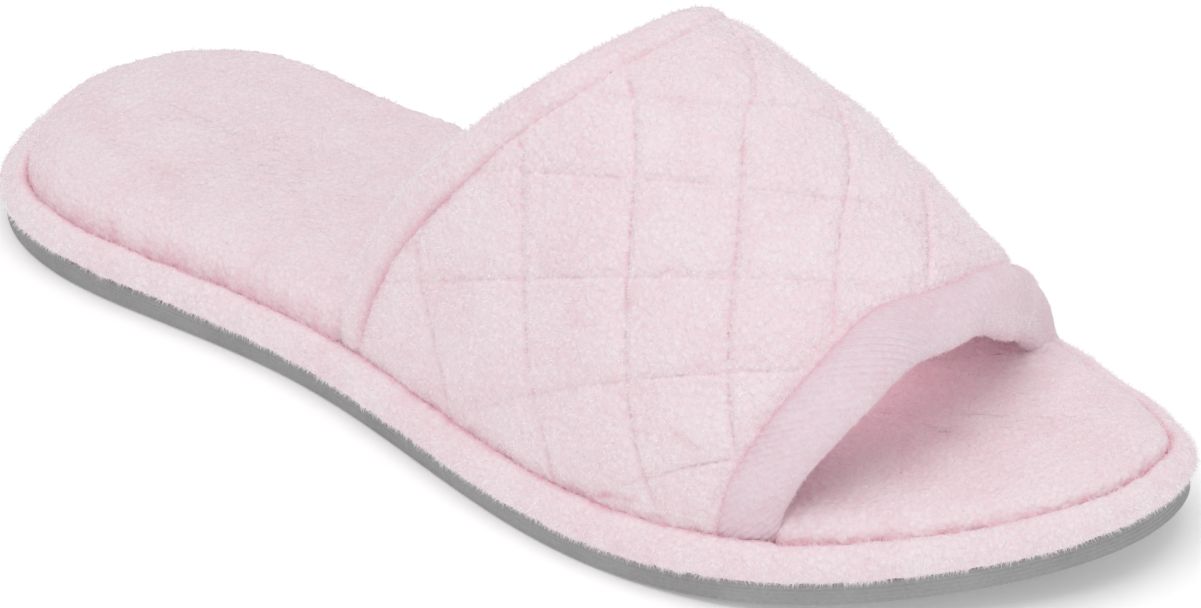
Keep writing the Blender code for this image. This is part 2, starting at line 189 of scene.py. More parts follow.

# Painted shade on the upper: how deep pink it is painted beside a stitch line, at the sole's seam, at a
# binding and in a crease
UPPER_SHADES = (0.18, 0.40, 0.30, 0.8)

# Edge bindings: a folded strip with a slot that takes the upper's thinned edge
TOE_BINDING_WIDTH = 11.0
TOE_BINDING_NARROW = 2.6
THROAT_BINDING_WIDTH = 6.8
THROAT_BINDING_GROWTH = 3.6
# The toe edge has a hump beside the ridge, flares at its medial end, and its lip is tucked in there
TOE_HUMP = 2.6
TOE_HUMP_AT = -0.2
TOE_HUMP_WIDTH = 0.18
TOE_HUMP_ALONG = (0.6, 1.0)
TOE_FLARE = 3.0
TOE_FLARE_WAY = (0.35, 0.94, 0.0)
TOE_FLARE_ACROSS = (0.68, 0.96)
TOE_FLARE_ALONG = (0.55, 0.95)
TOE_TUCK = (0.0, -3.0, -4.0)
# The throat edge sags beside the ridge
THROAT_SAG = 2.4
THROAT_SAG_AT = 0.26
THROAT_SAG_WIDTH = 0.2
THROAT_SAG_ALONG = (0.0, 0.16)
KNIT_PITCH = 1.25
SLOT_DEPTH = 4.5
FLANGE_REACH = 4.0
FLANGE_OUTER = 1.3
FLANGE_INNER = 3.5
SLOT_OUTER = FLANGE_OUTER - GAP
SLOT_INNER = FLANGE_INNER + GAP
BINDING_OUTER = -1.0
BINDING_INNER = 5.8
FULL_DEPTHS = (BINDING_OUTER, SLOT_OUTER, FLANGE_OUTER, FLANGE_INNER, SLOT_INNER, BINDING_INNER)
SEAM_DEPTHS = (0.0, 0.7, 1.0, 2.0, 2.3, WALL_AT_SEAM)
# A fold's section: share of the binding's width from the seam to the lip, and depth in the upper.
# A share below 0, beyond the seam, is counted in FOLD_SPREAD mm
FOLD_SPREAD = 10.0
BINDING_FOLD = (
    (-0.04, 1.9),
    (0.0, 0.6),
    (0.06, -0.1),
    (0.18, -0.75),
    (0.45, BINDING_OUTER),
    (0.72, -0.45),
    (0.90, 0.7),
    (0.985, 2.0),
    (0.985, 3.2),
    (0.88, 4.6),
    (0.66, 5.5),
    (0.40, BINDING_INNER),
    (0.12, 5.4),
    (0.0, 4.6),
)

# Lines round the outsole's side, and its tread
SOLE_LINE_PITCH = 0.85
SOLE_LINE_DEPTH = 0.09
TREAD_PITCH = 5.2
TREAD_DEPTH = 0.5

# Points across and along the meshes
UPPER_COLUMNS = 260
UPPER_ROWS = 148
FOOTBED_COLUMNS = 820
FOOTBED_RINGS = 13
FOOTBED_CAP_ROWS = 30
WRAP_COLUMNS = 1000
WRAP_ROWS = 26
OUTSOLE_COLUMNS = 640
OUTSOLE_ROWS = 24
TREAD_CAP_ROWS = 26
THROAT_COLUMNS = 300
TOE_COLUMNS = 500
FOLD_ROWS = 40
# How far inside a ring's two ends the line down the middle of its cap stops
CAP_END = 24.0

# Terry tufts on the cloth: their height and size, and a seed
UPPER_TUFTS = (0.75, 1.7, 11)
FOOTBED_TUFTS = (0.80, 1.9, 31)
WRAP_TUFTS = (0.75, 1.5, 51)
THROAT_TUFTS = (0.6, 1.6, 71)
TOE_TUFTS = (0.35, 1.2, 81)
# Shares of a tuft's height: the large tuft, the small one, the tuft's own, clumps and a slow roll
TUFT_LIFTS = (0.50, 0.22, 0.14, 0.22, 0.20)
# Loose fibres: how many, their length and width, the way they lie, their lean in degrees and a seed
UPPER_FIBRES = (42000, 1.1, 0.30, (0.3, 0.0, -0.9), 30.0, 101)
FOOTBED_FIBRES = (34000, 1.1, 0.26, (0.2, -0.3, 0.0), 34.0, 102)
WRAP_FIBRES = (30000, 1.3, 0.22, (0.0, 0.0, -0.9), 40.0, 103)
THROAT_FIBRES = (12000, 1.1, 0.26, (0.0, 0.0, -0.2), 36.0, 104)
TOE_FIBRES = (16000, 0.8, 0.18, (0.0, 0.0, -0.2), 34.0, 105)
# A fibre's four points are three round its root and the tip; its faces, and their places in the flat map
FIBRE_FACES = ((1, 0, 3), (2, 1, 3), (0, 2, 3), (0, 1, 2))
FIBRE_PLACES = (
    ((0.02, 0.05), (0.30, 0.05), (0.16, 0.95)),
    ((0.34, 0.05), (0.62, 0.05), (0.48, 0.95)),
    ((0.66, 0.05), (0.94, 0.05), (0.80, 0.95)),
    ((0.20, 0.60), (0.44, 0.60), (0.32, 0.95)),
)
# Painted shade at a fibre's root: how deep pink it is painted there, fading to none at the tip
FIBRE_ROOT_SHADE = 0.12
# Shares of a fibre's way: the nap, a slow swirl, its lock's own way and a random one
FIBRE_WAYS = (1.0, 0.9, 0.6, 0.5)

# Camera, solved from the photo: angles in degrees, distances in mm
CAMERA_AZIMUTH = 44.02
CAMERA_ELEVATION = 30.27
CAMERA_ROLL = -3.61
CAMERA_DISTANCE = 2051.4
CAMERA_LENS = 340.4
CAMERA_SENSOR = 36.0
CAMERA_AIM = (131.0, 0.0, 25.0)
CAMERA_AIM_RIGHT = 6.11
CAMERA_AIM_UP = -11.27

# Colours, linear: tips of the pile, the deeper pink painted as shade between and under them, and the
# rubber
TERRY_TIP = (0.94, 0.848, 0.882)
TERRY_SHADE_PINK = (0.84, 0.47, 0.56)
# Painted light: the loose fibres' tips are paler than the cloth's, making up for the light their thin
# sides lose
PILE_LIT_TIP = (0.97, 0.885, 0.92)
# Painted shade: the wrap's loose fibres are darker than the rest of the pile
WRAP_SHADED_TIP = (0.91, 0.825, 0.86)
BINDING_TIP = (0.86, 0.745, 0.80)
BINDING_SHADE_PINK = (0.82, 0.46, 0.56)
SOLE_GREY = (0.335, 0.33, 0.335)
SOLE_PALE = (0.41, 0.41, 0.41)
SHEEN_TINT = (1.0, 0.93, 0.96, 1.0)
# How light spreads inside the loose fibres, and the cloth's fine bump, in metres
PILE_RADIUS = (1.0, 0.9, 0.93)
PILE_SCATTER = 0.0006
CLOTH_BUMP = 0.5
CLOTH_GRAIN = 0.0009
# Scales of the cloth's noises, for each metre: specks, clouds, nubs, broken lines and faded ribs
SPECK_SCALE = 1300.0
CLOUD_SCALE = 90.0
NUB_SCALE = 700.0
BROKEN_SCALE = 380.0
FADE_SCALE = 60.0

# Places of the colour sockets in Blender's Mix node
MIX_FIRST = 6
MIX_SECOND = 7
MIX_RESULT = 2

# Lamps in the frame's metres: place, aim, width and height, power and colour
LAMPS = {
    "key": ((0.24, -0.26, 1.41), (0.02, 0.0, 0.03), (1.3, 1.3), 8.7, (1.0, 1.0, 1.0)),
    "front": ((0.95, 0.10, 0.20), (0.08, 0.0, 0.03), (0.6, 0.4), 0.15, (1.0, 1.0, 1.0)),
    "bounce": ((0.064, 0.004, 0.033), (0.078, 0.004, 0.012), (0.034, 0.022), 0.0024, (1.0, 0.68, 0.77)),
}
WHITE = (1.0, 1.0, 1.0, 1.0)
FLOOR_SIZE = 8.0
FLOOR_COLOUR = (0.96, 0.96, 0.96, 1.0)
FLOOR_GLOW = 0.18
SURROUND = 0.59


def smoothstep(value, low, high):
    """0 below low, 1 above high, and a smooth ramp between."""
    ramp = np.clip((np.asarray(value, float) - low) / (high - low), 0.0, 1.0)
    return ramp * ramp * (3.0 - 2.0 * ramp)


def bell(value, middle, width):
    """1 at middle, falling smoothly to 0 on both sides."""
    return np.exp(-(((value - middle) / width) ** 2))


def blend(shares, parts):
    """The sum of the parts, each times its share."""
    return sum(share * part for share, part in zip(shares, parts))


def unit(vectors):
    return vectors / np.linalg.norm(vectors, axis=-1)[..., None]


def running_length(line):
    """How far along a line each of its points lies."""
    return np.concatenate([[0.0], np.cumsum(np.linalg.norm(np.diff(line, axis=0), axis=1))])


def resample(values, length, even):
    """Values known at the lengths along a line, at other lengths along it."""
    return np.stack([np.interp(even, length, column) for column in values.T], axis=1)


def periodic_spline(points, samples):
    """A closed cubic curve through points, and its tangents, at even parameter steps."""
    points = np.asarray(points, float)
    count = len(points)
    steps = np.linalg.norm(np.roll(points, -1, axis=0) - points, axis=1)
    before = np.roll(steps, 1)
    system = np.zeros((count, count))
    right = np.zeros((count, 2))
    for i in range(count):
        ahead = (i + 1) % count
        system[i, i - 1] += steps[i]
        system[i, i] += 2.0 * (before[i] + steps[i])
        system[i, ahead] += before[i]
        rise_in = (points[i] - points[i - 1]) / before[i]
        rise_out = (points[ahead] - points[i]) / steps[i]
        right[i] = 3.0 * (rise_in * steps[i] + rise_out * before[i])
    slopes = np.linalg.solve(system, right)
    ends = np.concatenate([[0.0], np.cumsum(steps)])
    where = np.linspace(0.0, ends[-1], samples, endpoint=False)
    span = np.clip(np.searchsorted(ends, where, side="right") - 1, 0, count - 1)
    t = ((where - ends[span]) / steps[span])[:, None]
    width = steps[span][:, None]
    start, end = points[span], points[(span + 1) % count]
    slope_in, slope_out = slopes[span] * width, slopes[(span + 1) % count] * width
    cubic = 2.0 * start + slope_in - 2.0 * end + slope_out
    square = -3.0 * start - 2.0 * slope_in + 3.0 * end - slope_out
    curve = ((cubic * t + square) * t + slope_in) * t + start
    tangent = (3.0 * cubic * t + 2.0 * square) * t + slope_in
    return curve, unit(tangent)


class Outline:
    """The sole's plan, as points and outward normals round the shoe and along its two sides."""

    DENSE = 2400

    def __init__(self):
        lateral = [(along, edge) for along, edge, _ in SECTIONS]
        medial = [(along, edge) for along, _, edge in reversed(SECTIONS)]
        curve, tangent = periodic_spline([HEEL_BACK, *lateral, TOE_TIP, *medial], self.DENSE)
        normal = np.stack([tangent[:, 1], -tangent[:, 0]], axis=1)
        heel = int(curve[:, 0].argmin())
        self.curve = np.roll(curve, -heel, axis=0)
        self.normal = np.roll(normal, -heel, axis=0)
        toe = int(self.curve[:, 0].argmax())
        back = np.r_[0, np.arange(self.DENSE - 1, toe - 1, -1)]
        self.sides = {
            "lateral": (self.curve[: toe + 1], self.normal[: toe + 1]),
            "medial": (self.curve[back], self.normal[back]),
        }

    def around(self, count):
        """count evenly spaced points all the way round, with their outward normals."""
        closed = np.vstack([self.curve, self.curve[:1]])
        out = np.vstack([self.normal, self.normal[:1]])
        length = running_length(closed)
        even = np.linspace(0.0, length[-1], count, endpoint=False)
        return resample(closed, length, even), unit(resample(out, length, even))

    def edge_y(self, side, along, inset):
        """y of the side's edge, moved in by inset, at a distance along the shoe."""
        line, out = self.sides[side]
        moved = line - out * inset
        order = moved[:, 0].argsort()
        return np.interp(along, moved[order, 0], moved[order, 1])

    def middle(self):
        """The middle of the plan of the wrapped midsole, where the frame has its origin."""
        widest = self.curve + self.normal * WRAP_BULGE
        return (widest.min(axis=0) + widest.max(axis=0)) / 2.0


OUTLINE = Outline()
ORIGIN = np.array([*OUTLINE.middle(), 0.0])


def underside(along):
    """Height of the shoe's underside: flat from heel to ball, with toe spring and a rounded heel."""
    along = np.asarray(along, float)
    toe = np.clip((along - SPRING_START) / (TOE_TIP[0] - SPRING_START), 0.0, 1.05)
    heel = np.clip((HEEL_ROUND_LENGTH - along) / HEEL_ROUND_LENGTH, 0.0, 1.1)
    return TOE_SPRING * toe**2 + HEEL_ROUND_LIFT * heel**2


def to_frame(points):
    """Millimetres on the last to metres in the frame."""
    return (np.asarray(points, float) - ORIGIN) * MM


def lattice_hash(x, y, z, seed):
    """A repeatable pseudo-random number from 0 to 1 for each whole-number place."""
    mixed = (x * 73856093) ^ (y * 19349663) ^ (z * 83492791) ^ (seed * 2654435761)
    mixed = mixed & 0xFFFFFFFF
    mixed = ((mixed ^ (mixed >> 15)) * 2246822519) & 0xFFFFFFFF
    mixed = ((mixed ^ (mixed >> 13)) * 3266489917) & 0xFFFFFFFF
    return ((mixed ^ (mixed >> 16)) & 0xFFFFFFFF) / 4294967296.0


def soft_noise(points, size, seed):
    """Smooth noise from -1 to 1 with features of the given size."""
    scaled = np.asarray(points, float) / size
    cell = np.floor(scaled).astype(np.int64)
    part = scaled - cell
    part = part * part * (3.0 - 2.0 * part)
    total = np.zeros(len(scaled))
    for dx in (0, 1):
        wx = part[:, 0] if dx else 1.0 - part[:, 0]
        for dy in (0, 1):
            wy = part[:, 1] if dy else 1.0 - part[:, 1]
            for dz in (0, 1):
                wz = part[:, 2] if dz else 1.0 - part[:, 2]
                value = lattice_hash(cell[:, 0] + dx, cell[:, 1] + dy, cell[:, 2] + dz, seed)
                total += value * wx * wy * wz
    return total * 2.0 - 1.0


def noise_vectors(points, size, seed):
    """Smooth noise in three directions."""
    return np.stack([soft_noise(points, size, seed + k) for k in range(3)], axis=1)


def tufts(points, size, seed):
    """Distance to the nearest tuft's middle (0 there, about 1 between tufts) and its own number."""
    scaled = np.asarray(points, float) / size
    cell = np.floor(scaled).astype(np.int64)
    nearest = np.full(len(scaled), 9.0)
    number = np.zeros(len(scaled))
    for dx in (-1, 0, 1):
        for dy in (-1, 0, 1):
            for dz in (-1, 0, 1):
                at = cell + (dx, dy, dz)
                spot = np.stack([lattice_hash(*at.T, seed + k) for k in range(3)], axis=1)
                distance = ((at + spot - scaled) ** 2).sum(axis=1)
                closer = distance < nearest
                nearest = np.where(closer, distance, nearest)
                number = np.where(closer, lattice_hash(*at.T, seed + 7), number)
    return np.sqrt(nearest), number


class Builder:
    """Collects grids of points and their faces, with a flat map for each grid."""

    def __init__(self):
        self.points = []
        self.count = 0
        self.corners = []
        self.places = []

    def add_points(self, points):
        points = np.asarray(points, float).reshape(-1, 3)
        first = self.count
        self.points.append(points)
        self.count += len(points)
        return np.arange(first, self.count)

    def add_grid(self, ids, box):
        """Quads over a grid of point numbers, mapped to box = (left, bottom, right, top)."""
        rows, columns = ids.shape
        down, across = np.meshgrid(np.linspace(0, 1, rows), np.linspace(0, 1, columns), indexing="ij")
        u = box[0] + (box[2] - box[0]) * across
        v = box[1] + (box[3] - box[1]) * down
        place = np.stack([u, v], axis=-1)
        turn = ((0, 0), (0, 1), (1, 1), (1, 0))
        quads = np.stack([ids[r : rows - 1 + r, c : columns - 1 + c] for r, c in turn], axis=-1)
        spots = np.stack([place[r : rows - 1 + r, c : columns - 1 + c] for r, c in turn], axis=-2)
        self.corners.append(quads.reshape(-1, 4))
        self.places.append(spots.reshape(-1, 4, 2))

    def add_closed(self, ids, box):
        """A grid of point numbers whose last column meets its first."""
        self.add_grid(np.concatenate([ids, ids[:, :1]], axis=1), box)

    def add_wall(self, rows, box):
        """Rows of points that each close on themselves, joined into a wall; gives back their numbers."""
        rows = np.array(rows)
        ids = self.add_points(rows).reshape(rows.shape[:2])
        self.add_closed(ids, box)
        return ids

    def add_cap(self, ring, place, rows, box, under=False):
        """Fills a ring that starts at the heel with rows that close on a line down its middle."""
        count = len(ring)
        rim = np.vstack(self.points)[ring]
        turn = np.arange(count)
        half = count // 2
        pair = np.clip(np.minimum(turn, count - turn), 1, half - 1) - 1
        middle = (rim + rim[-turn]) / 2.0
        order = middle[:, 0].argsort()
        ends = rim[0, 0] + CAP_END, rim[half, 0] - CAP_END
        x = ends[0] + (ends[1] - ends[0]) * pair / (half - 2)
        y = np.interp(x, middle[order, 0], middle[order, 1])
        spine = np.stack([x, y, rim[:, 2]], axis=1)
        lines = [ring]
        for part in np.linspace(0.0, 1.0, rows + 1)[1:]:
            points = rim + (spine - rim) * part
            points = place(points, np.linalg.norm(points[:, :2] - rim[:, :2], axis=1))
            if part < 1.0:
                lines.append(self.add_points(points))
            else:
                lines.append(self.add_points(points[1:half])[pair])
        self.add_closed(np.array(lines)[:: -1 if under else 1], box)

    def mesh(self, name):
        """The mesh, with its faces outwards. A quad with two equal corners becomes a triangle, and a
        point that no face uses is left out: self.used says which stay."""
        known = np.vstack(self.points)
        quads, places = np.vstack(self.corners), np.vstack(self.places)
        centred = known - known.mean(axis=0)
        a, b, c, d = (centred[quads[:, k]] for k in range(4))
        if (np.cross(c - a, d - b) * a).sum() < 0.0:
            quads, places = quads[:, ::-1], places[:, ::-1]
        keep = quads != np.roll(quads, -1, axis=1)
        whole = keep.sum(axis=1) >= 3
        quads, places, keep = quads[whole], places[whole], keep[whole]
        self.used, loops = np.unique(quads[keep], return_inverse=True)
        return new_mesh(name, to_frame(known[self.used]), loops, keep.sum(axis=1), places[keep], True)


def new_mesh(name, points, loops, sizes, places, smooth):
    """A mesh from its points in metres, its faces' corners and sizes, and its corners' flat map."""
    mesh = bpy.data.meshes.new(name)
    mesh.vertices.add(len(points))
    mesh.vertices.foreach_set("co", points.astype(np.float32).ravel())
    mesh.loops.add(len(loops))
    mesh.loops.foreach_set("vertex_index", loops.astype(np.int32))
    mesh.polygons.add(len(sizes))
    starts = np.concatenate([[0], np.cumsum(sizes)[:-1]])
    mesh.polygons.foreach_set("loop_start", starts.astype(np.int32))
    mesh.update(calc_edges=True)
    layer = mesh.uv_layers.new(name="OFBake")
    layer.uv.foreach_set("vector", places.astype(np.float32).ravel())
    mesh.polygons.foreach_set("use_smooth", np.full(len(sizes), smooth))
    mesh.update()
    return mesh


def mesh_points(mesh):
    """The mesh's points, in millimetres in the frame, and its unit normals."""
    points = np.zeros(len(mesh.vertices) * 3, np.float32)
    mesh.vertices.foreach_get("co", points)
    normals = np.zeros(len(mesh.vertices) * 3, np.float32)
    mesh.vertex_normals.foreach_get("vector", normals)
    return points.reshape(-1, 3).astype(float) / MM, normals.reshape(-1, 3).astype(float)


def set_points(mesh, points):
    mesh.vertices.foreach_set("co", (points * MM).astype(np.float32).ravel())
    mesh.update()


def set_attribute(mesh, name, values):
    layer = mesh.attributes.new(name, "FLOAT", "POINT")
    layer.data.foreach_set("value", np.asarray(values, np.float32))


def pile(mesh, depth, height, size, seed):
    """Raises terry tufts over the mesh, and stores as its depth attribute how deep pink each point is
    painted, as painted shade: the given shade and more between the tufts.
    """
    points, normals = mesh_points(mesh)
    warp = noise_vectors(points, size * 2.5, seed + 21)
    near, number = tufts(points + warp * size * 0.6, size, seed)
    fine, _ = tufts(points + warp * size * 0.3, size * 0.55, seed + 40)
    rolling = soft_noise(points, size * 6.0, seed + 60)
    clump = soft_noise(points, size * 2.6, seed + 61)
    tuft = 1.0 - np.clip(near, 0.0, 1.1) ** 1.5
    small = 1.0 - np.clip(fine, 0.0, 1.1) ** 1.5
    lift = blend(TUFT_LIFTS, (tuft, small, number, clump, rolling))
    set_points(mesh, points + normals * (height * lift)[:, None])
    # Painted shade: deeper pink between the tufts, more in some patches than in others
    between = np.clip(1.0 - 0.75 * tuft - 0.25 * small - 0.25 * clump, 0.0, 1.0)
    tuft_gap_shade = 0.10 + 0.14 * smoothstep(soft_noise(points, size * 5.0, seed + 62), -0.3, 0.5)
    set_attribute(mesh, "depth", np.clip(depth + tuft_gap_shade * between, 0.0, 1.0))


def link(name, mesh, material):
    """A piece that rides on the shoe's one body."""
    piece = bpy.data.objects.new(name, mesh)
    bpy.context.scene.collection.objects.link(piece)
    mesh.materials.append(material)
    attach(piece, "root")
    return piece


def fibres(name, host, material, slot, count, length, width, nap, lean, seed, share):
    """Loose fibres over a piece: slim closed spikes that lean along the nap in small locks. share says
    how thickly they grow at each of the piece's points."""
    mesh = host.data
    mesh.calc_loop_triangles()
    corners = np.zeros(len(mesh.loop_triangles) * 3, np.int32)
    mesh.loop_triangles.foreach_get("vertices", corners)
    corners = corners.reshape(-1, 3)
    points, normals = mesh_points(mesh)
    a, b, c = (points[corners[:, k]] for k in range(3))
    area = np.linalg.norm(np.cross(b - a, c - a), axis=1) / 2.0 * share[corners].mean(axis=1)
    draw = np.random.default_rng(seed)
    chosen = draw.choice(len(area), size=count, p=area / area.sum())
    r, s = np.sqrt(draw.random(count)), draw.random(count)
    mix = np.stack([1.0 - r, r * (1.0 - s), r * s], axis=1)[:, :, None]
    root = (points[corners[chosen]] * mix).sum(axis=1)
    normal = unit((normals[corners[chosen]] * mix).sum(axis=1))
    swirl = noise_vectors(root, 7.0, seed + 1)
    _, lock = tufts(root + noise_vectors(root, 2.0, seed + 4), 1.9, seed + 9)
    turn = 2.0 * math.pi * lock
    own = np.stack([np.cos(turn), np.sin(turn), np.cos(2.3 * turn)], axis=1)
    along = blend(FIBRE_WAYS, (np.array(nap), swirl, own, draw.normal(size=(count, 3))))
    along = unit(along - normal * (along * normal).sum(axis=1)[:, None])
    angle = np.radians(lean) * (1.0 + 0.35 * draw.normal(size=count)).clip(0.2, 1.6)
    way = normal * np.cos(angle)[:, None] + along * np.sin(angle)[:, None]
    side = unit(np.cross(way, normal))
    other = np.cross(side, way)
    reach = length * (0.55 + 0.75 * draw.random(count) ** 1.5)
    thick = width * (0.7 + 0.6 * draw.random(count))
    base = root - normal * 0.25
    across, rise = side * thick[:, None] / 2.0, other * thick[:, None] / 3.0
    rim = [base + across, base + rise, base - across]
    tip = base + way * reach[:, None]
    spikes = np.stack([*rim, tip], axis=1).reshape(-1, 3)
    first = np.arange(count)[:, None] * 4
    loops = np.stack([first + np.array(face) for face in FIBRE_FACES], axis=1).reshape(-1)
    cells = math.ceil(math.sqrt(count))
    number = np.arange(count)
    cell = np.stack([number % cells, number // cells], axis=1)[:, None, None, :]
    places = (cell + np.array(FIBRE_PLACES)) / cells
    made = new_mesh(name, spikes * MM, loops, np.full(len(loops) // 3, 3), places, False)
    # Painted shade: the root is painted deeper pink than the tip
    root_shade = FIBRE_ROOT_SHADE * (0.6 + 0.8 * draw.random(count))
    set_attribute(made, "depth", (root_shade[:, None] * (1.0, 1.0, 1.0, 0.0)).ravel())
    piece = link(name, made, material)
    piece.visible_shadow = False
    piece.visible_diffuse = False
    return piece


def ring_at(count, out, height):
    """count points round the outline, moved out, at a height above the underside."""
    plan, normal = OUTLINE.around(count)
    plan = plan + normal * np.asarray(out, float).reshape(-1, 1)
    return np.column_stack([plan, underside(plan[:, 0]) + height])


def lean_in(plan, normal):
    """How far the wrap and the footbed lean in, at points of the outline."""
    away = normal @ np.array(LEAN_WAY)
    along = plan[:, 0]
    heel = HEEL_LEAN * smoothstep(away, *HEEL_LEAN_TURN) * (1.0 - smoothstep(along, *HEEL_LEAN_ALONG))
    return heel + TOE_LEAN * smoothstep(away, *TOE_LEAN_TURN) * smoothstep(along, *TOE_LEAN_ALONG)


class Material:
    """A new material, with short ways to add nodes to it."""

    def __init__(self, name):
        self.made = bpy.data.materials.new(name)
        self.made.use_nodes = True
        self.shader = self.made.node_tree.nodes["Principled BSDF"]

    def settle(self, node, inputs):
        """Settles a node's inputs: another node's output is linked, anything else is a plain value."""
        for name, value in inputs.items():
            if isinstance(value, bpy.types.NodeSocket):
                self.made.node_tree.links.new(value, node.inputs[name])
            else:
                node.inputs[name].default_value = value

    def node(self, kind, output, inputs, **settings):
        """Adds a node, settles its inputs and gives back one of its outputs."""
        made = self.made.node_tree.nodes.new("ShaderNode" + kind)
        for key, value in settings.items():
            setattr(made, key, value)
        self.settle(made, inputs)
        return made.outputs[output]

    def attribute(self, name):
        return self.node("Attribute", "Fac", {}, attribute_name=name)

    def spread(self, value, source, target, smooth=False):
        """value, carried over from one range to another."""
        inputs = {"Value": value, "From Min": source[0], "From Max": source[1]}
        inputs.update({"To Min": target[0], "To Max": target[1]})
        kind = "SMOOTHSTEP" if smooth else "LINEAR"
        return self.node("MapRange", "Result", inputs, interpolation_type=kind)

    def product(self, first, second):
        return self.node("Math", "Value", {0: first, 1: second}, operation="MULTIPLY")

    def total(self, *values):
        """The sum of the values, held between 0 and 1 at every step."""
        whole = values[0]
        for value in values[1:]:
            whole = self.node("Math", "Value", {0: whole, 1: value}, operation="ADD", use_clamp=True)
        return whole

    def noise(self, scale, detail, low, high):
        """Noise in the frame's own space, spread over low to high, and as it comes."""
        inputs = {"Vector": self.node("TexCoord", "Object", {}), "Scale": scale, "Detail": detail}
        raw = self.node("TexNoise", "Fac", inputs)
        return self.spread(raw, (0.35, 0.65), (low, high)), raw

    def nubs(self, scale):
        """The height of small loops of pile, and how far a point lies between them."""
        inputs = {"Vector": self.node("TexCoord", "Object", {}), "Scale": scale}
        away = self.node("TexVoronoi", "Distance", inputs)
        return [self.spread(away, (0.1, 0.8), ends, smooth=True) for ends in ((1.0, 0.0), (0.0, 1.0))]

    def line_mask(self, name, width):
        """1 on a quilting line and 0 at width, in cells, from it."""
        away = self.node("Math", "Value", {0: self.attribute(name), 1: 0.5}, operation="PINGPONG")
        return self.spread(away, (0.0, width), (1.0, 0.0), smooth=True)

    def colour(self, share, first, second):
        """Colours the surface from first to second, by share."""
        inputs = {"Factor": share, MIX_FIRST: (*first, 1.0), MIX_SECOND: (*second, 1.0)}
        self.settle(self.shader, {"Base Color": self.node("Mix", MIX_RESULT, inputs, data_type="RGBA")})

    def bump(self, height, strength, distance):
        inputs = {"Height": height, "Strength": strength, "Distance": distance}
        self.settle(self.shader, {"Normal": self.node("Bump", "Normal", inputs)})


def terry(name, tip, deep, bump=0.0, through=0.0, quilted=False, knitted=False):
    """Plush cloth: pale at the tips of the pile and painted deeper pink as shade between them, with a fine
    fibrous bump.
    """
    cloth = Material(name)
    cloth.settle(
        cloth.shader,
        {
            "Roughness": 0.95,
            "Specular IOR Level": 0.15,
            "Sheen Weight": 0.6 if through else 0.2,
            "Sheen Roughness": 0.6,
            "Sheen Tint": SHEEN_TINT,
        },
    )
    if through:
        inside = {"Subsurface Weight": 1.0, "Subsurface Radius": PILE_RADIUS, "Subsurface Scale": through}
        cloth.settle(cloth.shader, inside)
    speck, grain = cloth.noise(SPECK_SCALE, 2.0, -0.06, 0.12)
    cloud, _ = cloth.noise(CLOUD_SCALE, 2.0, 0.0, 0.09)
    nub, between = cloth.nubs(NUB_SCALE)
    # Painted shade from the depth attribute, random specks and clouds of tone, and painted shade between
    # the nubs
    depth = cloth.total(cloth.attribute("depth"), speck, cloud, cloth.product(between, 0.12))
    grain = cloth.total(cloth.product(grain, 0.5), cloth.product(nub, 0.5))
    if quilted:
        # Painted shade along the stitch lines, deeper on the first family, broken by noise that also
        # paints paler spots as painted highlight
        broken, _ = cloth.noise(BROKEN_SCALE, 3.0, -0.35, 1.0)
        along = cloth.product(cloth.line_mask("line_v", 0.045), 0.34)
        across = cloth.product(cloth.line_mask("line_h", 0.035), 0.15)
        depth = cloth.total(depth, cloth.product(cloth.total(along, across), broken))
    if knitted:
        # Painted shade on the ribs: paler where the bump raises them and deeper pink between them
        wave = cloth.node("Math", "Value", {0: cloth.attribute("course")}, operation="SINE")
        fading, _ = cloth.noise(FADE_SCALE, 1.0, 0.2, 1.0)
        rib = cloth.product(wave, fading)
        depth = cloth.total(depth, cloth.product(rib, -0.07))
        grain = cloth.total(cloth.product(grain, 0.5), cloth.product(rib, 0.35))
    cloth.colour(depth, tip, deep)
    if bump:
        cloth.bump(grain, bump, CLOTH_GRAIN)
    return cloth.made


def rubber(name):
    """Matt grey foamed rubber with faint clouds and a fine tooth."""
    sole = Material(name)
    sole.settle(sole.shader, {"Roughness": 0.7, "Specular IOR Level": 0.3})
    cloud, _ = sole.noise(60.0, 3.0, 0.0, 1.0)
    fine, grain = sole.noise(1500.0, 3.0, 0.0, 0.5)
    sole.colour(sole.total(sole.product(cloud, 0.6), fine), SOLE_GREY, SOLE_PALE)
    sole.bump(grain, 0.35, 0.0003)
    return sole.made


def arch_value(column, u):
    """A size of the upper's arch, u being 0 at the throat edge and 1 at the toe edge."""
    index = ARCH_COLUMNS.index(column)
    return THROAT_ARCH[index] + (TOE_ARCH[index] - THROAT_ARCH[index]) * u


def arch_angle(t):
    """The angle round the arch: 0 at the lateral seam, pi at the medial seam."""
    return (np.clip(t, -1.0, 1.0) + 1.0) * math.pi / 2.0


def arch_rise(u):
    """How far the ridge rises over the seams."""
    return arch_value("height", u) + INSTEP_RISE * 4.0 * u * (1.0 - u)


